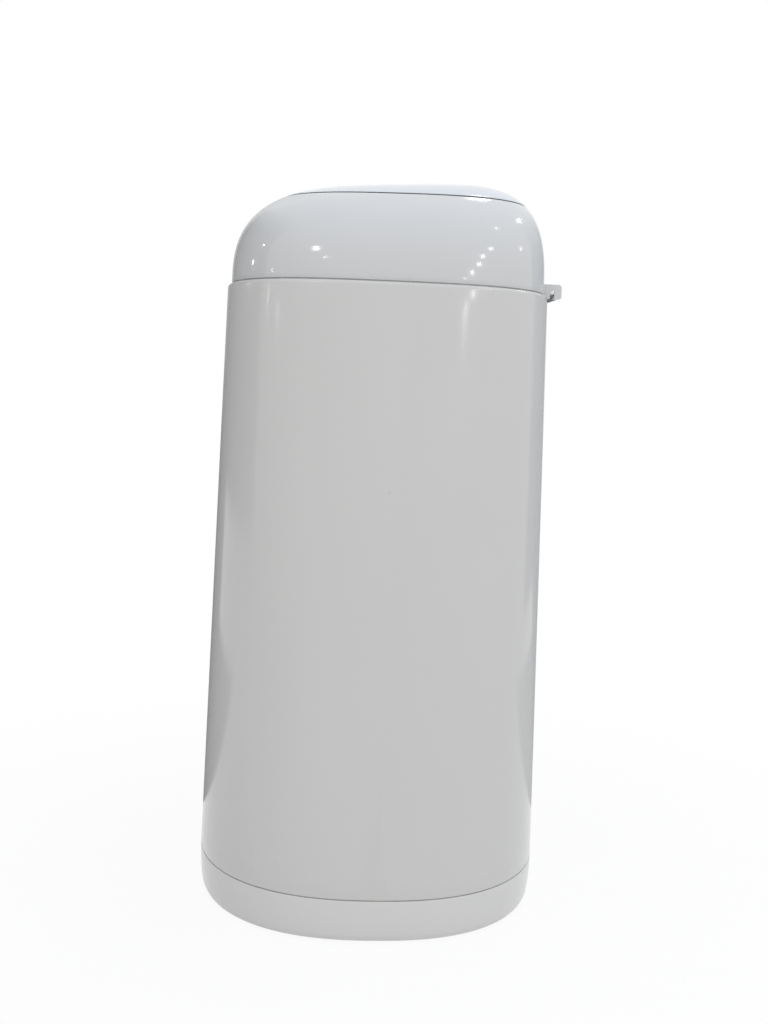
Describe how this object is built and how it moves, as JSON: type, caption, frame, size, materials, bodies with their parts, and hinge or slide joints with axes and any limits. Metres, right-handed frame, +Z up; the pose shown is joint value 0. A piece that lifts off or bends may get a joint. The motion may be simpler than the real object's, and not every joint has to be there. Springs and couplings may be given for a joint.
{
  "type": "nappy bin",
  "caption": "Tall white nappy bin: tapered shell on a base pan, domed head that tilts back on a rear hinge, flip lid, funnel with a sprung trap, film cassette inside.",
  "frame": {"origin": "centre of the bin's footprint on the floor, at the underside of the rubber feet", "axes": "+Z up, front of the bin towards -Y, hinges at the rear towards +Y, +X to the bin's left as seen from the front"},
  "size_m": [0.27, 0.263, 0.5474],
  "materials": {
    "body_white": "gloss",
    "head_white": "gloss",
    "lid_white": "gloss",
    "pan_white": "gloss",
    "inner_white": "fine satin",
    "inner_grey": "fine satin",
    "flap_grey": "fine satin",
    "cutter_grey": "satin",
    "cassette_white": "satin",
    "film": "soft film",
    "foot_rubber": "matte",
    "lip_rubber": "matte",
    "steel": "zinc plated",
    "pin_steel": "ground",
    "spring_steel": "drawn wire",
    "blade_steel": "polished"
  },
  "bodies": {
    "base": {"base_pan": "pan_white", "rubber_feet": "foot_rubber", "base_screws": "steel", "body_shell": "body_white", "collar": "inner_white", "collar_screws": "steel", "hinge_pin": "pin_steel", "cutter_holder": "cutter_grey", "cutter_blade": "blade_steel", "cassette_tub": "cassette_white", "cassette_cap": "cassette_white", "film_pack": "film"},
    "head": {"head_shell": "head_white", "head_funnel": "inner_grey", "funnel_screws": "steel", "trap_frame": "inner_grey", "frame_screws": "steel", "flap_pins": "pin_steel", "spring_front": "spring_steel", "spring_rear": "spring_steel", "lid_pin": "pin_steel"},
    "trap_front": {"flap_front": "flap_grey", "lip_front": "lip_rubber"},
    "trap_rear": {"flap_rear": "flap_grey", "lip_rear": "lip_rubber"},
    "lid": {"lid_shell": "lid_white", "lid_plate": "inner_grey", "lid_seal": "lip_rubber"}
  },
  "joints": [
    {"name": "head_tilt", "type": "hinge", "parent": "base", "child": "head", "pos_m": [0, 0.12, 0.4668], "axis": [-1, 0, 0], "range_deg": [0, 95]},
    {"name": "lid_flip", "type": "hinge", "parent": "head", "child": "lid", "pos_m": [0, 0.1015, 0.5222], "axis": [-1, 0, 0], "range_deg": [0, 95]},
    {"name": "trap_front_swing", "type": "hinge", "parent": "head", "child": "trap_front", "pos_m": [0, -0.0495, 0.4615], "axis": [-1, 0, 0], "range_deg": [0, 72], "stiffness_Nm_per_rad": 0.12, "springref_deg": -20.05, "deforming": ["spring_front"]},
    {"name": "trap_rear_swing", "type": "hinge", "parent": "head", "child": "trap_rear", "pos_m": [0, 0.0495, 0.4615], "axis": [1, 0, 0], "range_deg": [0, 72], "stiffness_Nm_per_rad": 0.12, "springref_deg": -20.05, "deforming": ["spring_rear"]}
  ]
}
